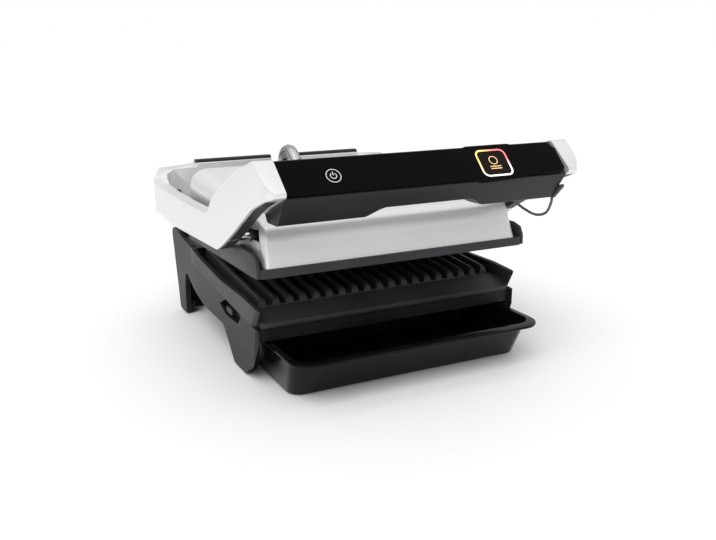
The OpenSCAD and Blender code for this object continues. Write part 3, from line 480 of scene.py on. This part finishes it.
def shell_rule(x, u, w):
    """The steel head: tight plan corners and a broad fold in front, under a top that starts higher"""
    old, new, wall_depth = 38.0, 7.0, 24.0
    slope, deepen, widen, eased_over, lift = 0.1432, 1.7, 1.8, 50.0, 6.0
    is_foot = w < SHELL_LOW + 1
    centre = (111.5, HEAD_FRONT + old) if is_foot else (110.5, HEAD_FRONT + old + 7)
    x, u, w = tighter_corner(*centre, old, new, wall_depth)(x, u, w)
    top = 9 + (u - HEAD_FRONT - 8.5) * slope
    behind = u - HEAD_FRONT - new
    if not is_foot:
        if behind < 9.3 and top - w < 11:
            w = top - (top - w) * deepen
        if 0 < behind < eased_over:
            fold = 9.0
            rest = (eased_over - fold * widen) / (eased_over - fold)
            behind = behind * widen if behind < fold else fold * widen + (behind - fold) * rest
            u = HEAD_FRONT + new + behind
    towards_front = min(1.0, max(0.0, (-40 - u) / 225))
    return x, u, w + lift * ease(w, top - 10, top - 2) * towards_front


def upper_plate_rule(x, u, w):
    """The upper plate's rim: tight corners, and as wide as the arms allow"""
    widen, arc_u = 4.5, HEAD_FRONT + 31
    if abs(x) > 150.3 and u > arc_u + 0.05:
        return x + math.copysign(widen, x), u, w
    return tighter_corner(120.0, arc_u, 34.0, 10.0, 3.8, widen)(x, u, w)


def apron_rule(x, v, t):
    """The lower plate's ribs start further behind its lip"""
    between_rims = abs(x) < 152.3
    return (x, v + 18.5, t) if between_rims and -3 < v < 14 else (x, v, t)


def leg_rule(x, y, z):
    """The front legs slope back to their feet, and the front wall is a narrow band"""
    leg_top, leg_foot, back = 45.2, 2.0, 13
    if y < -128 and z < leg_top and abs(x) > 141:
        return x, y + back * (leg_top - z) / (leg_top - leg_foot), z
    if abs(x) < 151.4 and y < -160 and z < 48:
        return x, y, z + 4.5
    return x, y, z


def arm_rule(x, u, w):
    """The frame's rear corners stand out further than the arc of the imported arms"""
    centre_x, centre_u, old, new = 132.0, -11.55, 42.0, 15.0
    dx, du = abs(x) - centre_x, u - centre_u
    reach = math.hypot(dx, du)
    if dx < 0 or du < 0 or abs(reach - old) > 0.25:
        return x, u, w
    out = old - new + new * dx / reach
    return math.copysign(centre_x + out, x), centre_u + old - new + new * du / reach, w


def gland_rule(x, u, w):
    """The lead's gland is smaller than its packed block"""
    middle_u, middle_w = -359, 25
    return x, middle_u + (u - middle_u) * 0.72, middle_w + (w - middle_w) * 0.62


def softened(bm):
    """Rounds the long outer edges of an arm"""
    bm.normal_update()
    outer_face = 173.6 * MM
    outer = [e for e in bm.edges if len(e.link_faces) == 2 and e.calc_face_angle(0) > math.radians(40)
        and all(abs(v.co.x) > outer_face for v in e.verts)]
    bmesh.ops.bevel(bm, geom=outer, offset=3 * MM, segments=4, profile=0.5, affect="EDGES", material=-1,
        clamp_overlap=True)


# ---------------------------------------------------------------- new forms, in millimetres of a frame
def plate_between(outline, x0, x1, place):
    """An outline in the frame's YZ plane, extruded along X, with rounded edges"""
    bm = bmesh.new()
    face = bm.faces.new([bm.verts.new((x0, y, z)) for y, z in outline])
    made = bmesh.ops.extrude_face_region(bm, geom=[face])["geom"]
    bmesh.ops.translate(bm, vec=(x1 - x0, 0, 0), verts=[g for g in made if isinstance(g, bmesh.types.BMVert)])
    bmesh.ops.recalc_face_normals(bm, faces=bm.faces)
    bmesh.ops.bevel(bm, geom=bm.edges[:], offset=0.6, segments=3, profile=0.5, affect="EDGES", material=-1,
        clamp_overlap=True)
    return settle(bm, place)


def curve_through(points, steps):
    """Points on a smooth curve through a cord's own points"""
    line = [points[0], *points, points[-1]]
    found = []
    for a, b, c, d in zip(line, line[1:], line[2:], line[3:]):
        for t in (k / steps for k in range(steps)):
            found.append(0.5 * (2 * b + (c - a) * t + (2 * a - 5 * b + 4 * c - d) * t ** 2
                + (3 * b - a - 3 * c + d) * t ** 3))
    return [*found, points[-1]]


def arc_mark(bm, centre, radius, line, sweep=360.0, start=0.0):
    """A thin raised ring, or an arc of one, on a frame's XY plane"""
    x, y, z = centre
    turn, whole = math.radians(start), sweep >= 360
    inner, outer = radius - line / 2, radius + line / 2
    verts = [bm.verts.new((x + r * math.cos(turn), y + r * math.sin(turn), z + h))
        for r, h in ((inner, 0), (outer, 0), (outer, PRINT_HEIGHT), (inner, PRINT_HEIGHT))]
    edges = [bm.edges.new((verts[k - 1], verts[k])) for k in range(4)]
    bmesh.ops.spin(bm, geom=verts + edges, cent=centre, axis=(0, 0, 1), angle=math.radians(sweep), steps=48,
        use_merge=whole)
    if not whole:
        bmesh.ops.holes_fill(bm, edges=[e for e in bm.edges if e.is_boundary], sides=4)


def bar_mark(bm, centre, width, y0, y1):
    """A thin raised bar on a frame's XY plane, between y0 and y1 above the centre"""
    x, y, z = centre
    middle = Matrix.Translation((x, y + (y0 + y1) / 2, z + PRINT_HEIGHT / 2))
    bmesh.ops.create_cube(bm, size=1.0, matrix=middle @ Matrix.Diagonal((width, y1 - y0, PRINT_HEIGHT, 1)))


def grown(plan, by):
    """A rounded plan (half width, front, rear, corner radius) that is larger all round"""
    half_x, front, rear, radius = plan
    return half_x + by, front - by, rear + by, radius + by


def plan_point(k, count, plan, bow):
    """Point k of `count` on a rounded plan whose front bows out by `bow`"""
    half_x, front, rear, radius = plan
    corner, step = divmod(k, count // 4)
    angle = math.radians(90 * corner + 90 * step / (count // 4 - 1))
    x = (half_x - radius) * (1 if corner in (0, 3) else -1) + radius * math.cos(angle)
    y = (rear - radius if corner in (0, 1) else front + radius) + radius * math.sin(angle)
    if y < (front + rear) / 2:
        y -= bow * (1 - (x / half_x) ** 2)
    return x, y


def lofted(levels, bow, place, count=48):
    """A closed form through rings at several levels, each with its plan and height"""
    bm = bmesh.new()
    loops = []
    for plan, height in levels:
        ring = bmesh.ops.create_circle(bm, cap_ends=False, radius=1, segments=count)["verts"]
        for k, v in enumerate(ring):
            v.co = (*plan_point(k, count, plan, bow), height)
        loops.append(list({e for v in ring for e in v.link_edges}))
    for lower, upper in zip(loops, loops[1:]):
        bmesh.ops.bridge_loops(bm, edges=lower + upper)
    bmesh.ops.holes_fill(bm, edges=loops[0] + loops[-1], sides=0)
    return settle(bm, place)


# ---------------------------------------------------------------- pieces
class GRILL_OT_lid_frame(bpy.types.Operator):
    """Arms, their liners and the rear bar; the liners' dark colour is painted shade on the arms' undersides
    """
    bl_idname = "grill.lid_frame"
    bl_label = "Lid frame"

    def execute(self, context):
        colours = context.scene.grill_finishes
        edge = context.scene.grill_sizes.edge
        silver = satin_paint(colours.arms)
        # Painted shade: the liners are dark plastic that stands for the shade on the arms' downward-facing
        # undersides
        underside_shade = moulded("liner_painted_shade", shade(colours.handle, 1.5), 0.42)
        for side in ("left", "right"):
            dressed(side + "_arm", silver, edge, smooth=50, changes=(reshaped(LID, arm_rule), softened))
            dressed(side + "_arm_liner", underside_shade, edge * 0.5)
        dressed("rear_bar", silver, edge)
        dressed("bar_strips", moulded("strip_plastic", (0.02, 0.02, 0.02), 0.35), edge * 0.6)
        coat(silver, "pivot_caps")
        return {"FINISHED"}


class GRILL_OT_handle(bpy.types.Operator):
    """Handle body and its sloping fascia"""
    bl_idname = "grill.handle"
    bl_label = "Handle"

    def execute(self, context):
        colours = context.scene.grill_finishes
        edge = context.scene.grill_sizes.edge
        dressed("handle_body", moulded("handle_plastic", colours.handle, 0.34, wear=1.3), edge * 2, 3)
        dressed("control_panel", gloss_black("fascia_gloss"), edge * 0.5)
        dressed("display_window", gloss_black("display_glass", (0.012, 0.010, 0.009), 0.05))
        dressed("display_ring", display_glow())
        dressed("power_button", gloss_black("button_gloss"), edge * 0.25)
        self.standby_symbol(context.scene.grill_sizes.symbol / MM)
        self.display_symbol()
        coat(moulded("circuit_board", (0.02, 0.12, 0.05), 0.4), "control_board")
        coat(brushed_steel("screw_steel", (0.55, 0.55, 0.56)), "handle_screws")
        return {"FINISHED"}

    def standby_symbol(self, diameter):
        """The usual mark for on and standby, in a ring"""
        bm = bmesh.new()
        arc_mark(bm, BUTTON_AT, diameter / 2, 0.7)
        arc_mark(bm, BUTTON_AT, 3.0, 0.75, sweep=290, start=125)
        bar_mark(bm, BUTTON_AT, 0.8, 0.4, 4.4)
        self.printed(bm, "standby_symbol", "button", inked("standby_ink", (0.72, 0.74, 0.76), 0.15))

    def display_symbol(self):
        """A plain ring over two bars"""
        bm = bmesh.new()
        for lift in (-7.4, -4.8):
            bar_mark(bm, DISPLAY_AT, 13, lift, lift + 1)
        x, y, z = DISPLAY_AT
        arc_mark(bm, (x, y + 3, z), 4.6, 0.9)
        self.printed(bm, "display_symbol", "arms", inked("display_ink", (0.85, 0.55, 0.25), 0.6))

    def printed(self, bm, name, body, ink):
        """Lays a thin symbol on the fascia"""
        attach(finish_piece(piece_from(settle(bm, PANEL), name), ink), body)


class GRILL_OT_head(bpy.types.Operator):
    """Upper head: shell, frame and plate"""
    bl_idname = "grill.head"
    bl_label = "Upper head"

    def execute(self, context):
        colours = context.scene.grill_finishes
        edge = context.scene.grill_sizes.edge
        steel = brushed_steel("shell_steel", colours.shell, rough=0.33, metallic=0.6)
        dressed("top_shell", steel, smooth=50, flatten=0.1, changes=(reshaped(LID, shell_rule),))
        dressed("head_frame", moulded("frame_plastic", colours.housing, 0.45), edge * 0.5)
        coating = non_stick("upper_coating", colours.coating)
        dressed("upper_plate", coating, edge * 0.7, changes=(reshaped(LID, upper_plate_rule),))
        self.flanges(coating)
        coat(heat_tinted("upper_element", (0.3, 0.28, 0.27)), "upper_heater")
        coat(brushed_steel("upper_reflector_sheet", (0.75, 0.76, 0.77)), "upper_reflector", "upper_sensor")
        dressed("upper_latch", moulded("release_plastic", shade(colours.handle, 1.4), 0.4), edge * 0.5)
        coat(rubber("bush_black"), "float_bushes")
        coat(moulded("socket_plastic", colours.housing, 0.4), "conduit_socket")
        return {"FINISHED"}

    def flanges(self, coating):
        """The arched ends of the upper plate, beside the shell"""
        inner, outer, low, corner = 155.0, 158.5, -34.5, NOSE_U + 72
        arch = ((1.5, -24), (6, -15), (18, -11.5), (48, -11), (78, -14), (106, -22), (118, -25.9))
        outline = [(corner + u, w) for u, w in (*arch, (arch[-1][0], low), (arch[0][0], low))]
        for side in (-1, 1):
            bm = plate_between(outline, side * inner, side * outer, LID)
            flange = finish_piece(piece_from(bm, "upper_flange_%d" % (side + 1)), coating)
            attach(flange, "head")


class GRILL_OT_base(bpy.types.Operator):
    """Housing on its legs, with the lower plate"""
    bl_idname = "grill.base"
    bl_label = "Base"

    def execute(self, context):
        colours = context.scene.grill_finishes
        edge = context.scene.grill_sizes.edge
        housing = moulded("housing_plastic", colours.housing, 0.40)
        dressed("base_housing", housing, edge,
            changes=(reshaped(BASE, fuller_front), reshaped(BASE, leg_rule)))
        dressed("lower_plate", non_stick("lower_coating", colours.coating), edge * 0.9, 3, smooth=40,
            changes=(reshaped(BASE, fuller_front), reshaped(PLATE, apron_rule)))
        coat(moulded("cover_plastic", shade(colours.housing, 0.8), 0.55), "base_cover")
        foot = rubber("foot_rubber")
        dressed("feet", foot, changes=(reshaped(BASE, leg_rule),))
        coat(foot, "cord_gland")
        coat(brushed_steel("cover_screw_steel", (0.5, 0.5, 0.51)), "cover_screws")
        coat(heat_tinted("lower_element", (0.3, 0.28, 0.27)), "lower_heater")
        coat(brushed_steel("lower_reflector_sheet", (0.75, 0.76, 0.77)), "lower_reflector", "lower_sensor")
        dressed("lower_latch", moulded("lower_release_plastic", shade(colours.handle, 1.4), 0.4), edge * 0.5)
        coat(housing, "hinge_brackets")
        coat(polished("hinge_steel", (0.6, 0.6, 0.62), 0.25), "hinge_pins")
        coat(inked("terminal_ceramic", (0.75, 0.73, 0.68)), "terminal_block")
        return {"FINISHED"}


class GRILL_OT_tray(bpy.types.Operator):
    """Drip tray"""
    bl_idname = "grill.tray"
    bl_label = "Drip tray"

    def execute(self, context):
        tray = moulded("tray_plastic", (0.004, 0.004, 0.0045), 0.14, grain=1500, strength=0.04, wear=1.4,
            shine=0.16)
        floor, wall, lip = (137, -213, -99, 15), (139.5, -234, -90, 20), (144.5, -247, -85, 22)
        opening, well = (138.5, -236, -91, 18), (135, -211, -101, 13)
        levels = ((grown(floor, -0.8), 1.6), (floor, 2.6), (wall, 40.6), (lip, 41.4), (grown(lip, 0.5), 42.4),
            (lip, 43.8), (grown(lip, -0.6), 44.1), (opening, 44.1), (well, 4.6), (grown(well, -1), 4.0))
        tub = finish_piece(piece_from(lofted(levels, 4.0, BASE), "tray_tub"), tray, 40)
        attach(tub, "tray")
        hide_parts("drip_tray")
        return {"FINISHED"}


class GRILL_OT_tubes(bpy.types.Operator):
    """Float pins, ribbed conduit and the head's lead"""
    bl_idname = "grill.tubes"
    bl_label = "Pins, conduit and lead"

    def execute(self, context):
        chrome = polished("pin_chrome")
        dressed("float_pins", chrome)
        dressed("guide_pins", chrome)
        dressed("rear_conduit", polished("conduit_chrome", (0.7, 0.7, 0.72), 0.16), smooth=60, flatten=0.1)
        lead = dressed("head_lead", rubber("lead_sleeve", (0.10, 0.10, 0.105)), smooth=70, flatten=0.1,
            rides=False)
        route = [LID @ (Vector(point) * MM) for point in LEAD_POINTS]
        [tuple(point) for point in curve_through(route, 6)]
        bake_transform(lead)
        dressed("lead_gland", moulded("gland_plastic", (0.05, 0.05, 0.052), 0.4), 0.0006,
            changes=(reshaped(LID, gland_rule),))
        return {"FINISHED"}


# ---------------------------------------------------------------- stage
def aim(thing, place, target):
    """Stands a camera or a light at a place, and turns it to its target"""
    thing.location = place
    thing.rotation_euler = (Vector(target) - Vector(place)).to_track_quat("-Z", "Y").to_euler()


class GRILL_OT_stage(bpy.types.Operator):
    """Camera, floor and studio light"""
    bl_idname = "grill.stage"
    bl_label = "Studio"

    def execute(self, context):
        studio = context.scene.grill_studio
        self.camera(context.scene, studio)
        self.floor(studio)
        self.room(context.scene, studio)
        window = bpy.data.lights.new("wide_sun", "SUN")
        window.energy = studio.window
        window.angle = studio.window_width
        lamp = bpy.data.objects.new("wide_sun", window)
        context.scene.collection.objects.link(lamp)
        aim(lamp, (-0.9, -0.7, 1.6), (0, 0, 0))
        context.scene.view_settings.view_transform = "Standard"
        return {"FINISHED"}

    def camera(self, scene, studio):
        """The photograph's camera"""
        data = bpy.data.cameras.new("photo_camera")
        data.sensor_width = 36.0
        data.sensor_fit = "HORIZONTAL"
        data.lens = studio.lens
        data.clip_end = 50
        camera = bpy.data.objects.new("photo_camera", data)
        scene.collection.objects.link(camera)
        level = math.cos(studio.elevation)
        back = Vector((-math.sin(studio.azimuth) * level, -math.cos(studio.azimuth) * level,
            math.sin(studio.elevation)))
        aim(camera, CAMERA_TARGET + back * studio.distance, CAMERA_TARGET)
        scene.camera = camera

    def floor(self, studio):
        """A plain pale floor that runs out to the horizon"""
        bm = bmesh.new()
        bmesh.ops.create_grid(bm, x_segments=4, y_segments=4, size=25)
        floor = piece_from(bm, "studio_floor")
        paper = Finish("floor_paper", studio.floor, 0.6)
        mottle = paper.span(paper.noise(3), 0.3, 0.7)
        paper.feed("Base Color", paper.blend(mottle, shade(studio.floor, 0.99), studio.floor))
        floor.data.materials.append(paper.material)

    def room(self, scene, studio):
        """Light that grows from the horizon to the ceiling, behind a backdrop that the camera sees white"""
        scene.world = bpy.data.worlds.new("studio_world")
        scene.world.use_nodes = True
        sky = Nodes(scene.world.node_tree)
        place = sky.node("ShaderNodeTexCoord", out="Generated")
        height = sky.node("ShaderNodeSeparateXYZ", sockets={0: place}, out="Z")
        light = sky.node("ShaderNodeMapRange", {"interpolation_type": "SMOOTHSTEP"},
            {0: height, 1: -0.1, 3: studio.horizon, 4: studio.zenith})
        seen = sky.node("ShaderNodeLightPath", out="Is Camera Ray")
        background = sky.tree.nodes["Background"]
        sky.join(background.inputs["Color"], (1, 1, 1, 1))
        strength = sky.node("ShaderNodeMix", sockets={0: seen, 2: light, 3: 1.0})
        sky.join(background.inputs["Strength"], strength)


class GRILL_PT_panel(bpy.types.Panel):
    """Lists the grill's pieces and finishes"""
    bl_idname = "GRILL_PT_panel"
    bl_label = "Contact grill"
    bl_space_type = "VIEW_3D"
    bl_region_type = "UI"
    bl_category = "Grill"

    def draw(self, context):
        for group in (context.scene.grill_finishes, context.scene.grill_sizes, context.scene.grill_studio):
            for name in group.__annotations__:
                self.layout.prop(group, name)
        for operator in OPERATORS:
            self.layout.operator(operator.bl_idname)


OPERATORS = (GRILL_OT_stage, GRILL_OT_tubes, GRILL_OT_lid_frame, GRILL_OT_handle, GRILL_OT_head,
    GRILL_OT_base, GRILL_OT_tray)
GROUPS = {"grill_finishes": GrillFinishes, "grill_sizes": GrillSizes, "grill_studio": GrillStudio}


def register():
    for cls in (*GROUPS.values(), *OPERATORS, GRILL_PT_panel):
        bpy.utils.register_class(cls)
    for name, group in GROUPS.items():
        setattr(bpy.types.Scene, name, bpy.props.PointerProperty(type=group))


def unregister():
    for name in GROUPS:
        delattr(bpy.types.Scene, name)
    for cls in (GRILL_PT_panel, *reversed(OPERATORS), *GROUPS.values()):
        bpy.utils.unregister_class(cls)


def main():
    register()
    for operator in OPERATORS:
        group, name = operator.bl_idname.split(".")
        getattr(getattr(bpy.ops, group), name)()


if __name__ == "__main__":
    main()
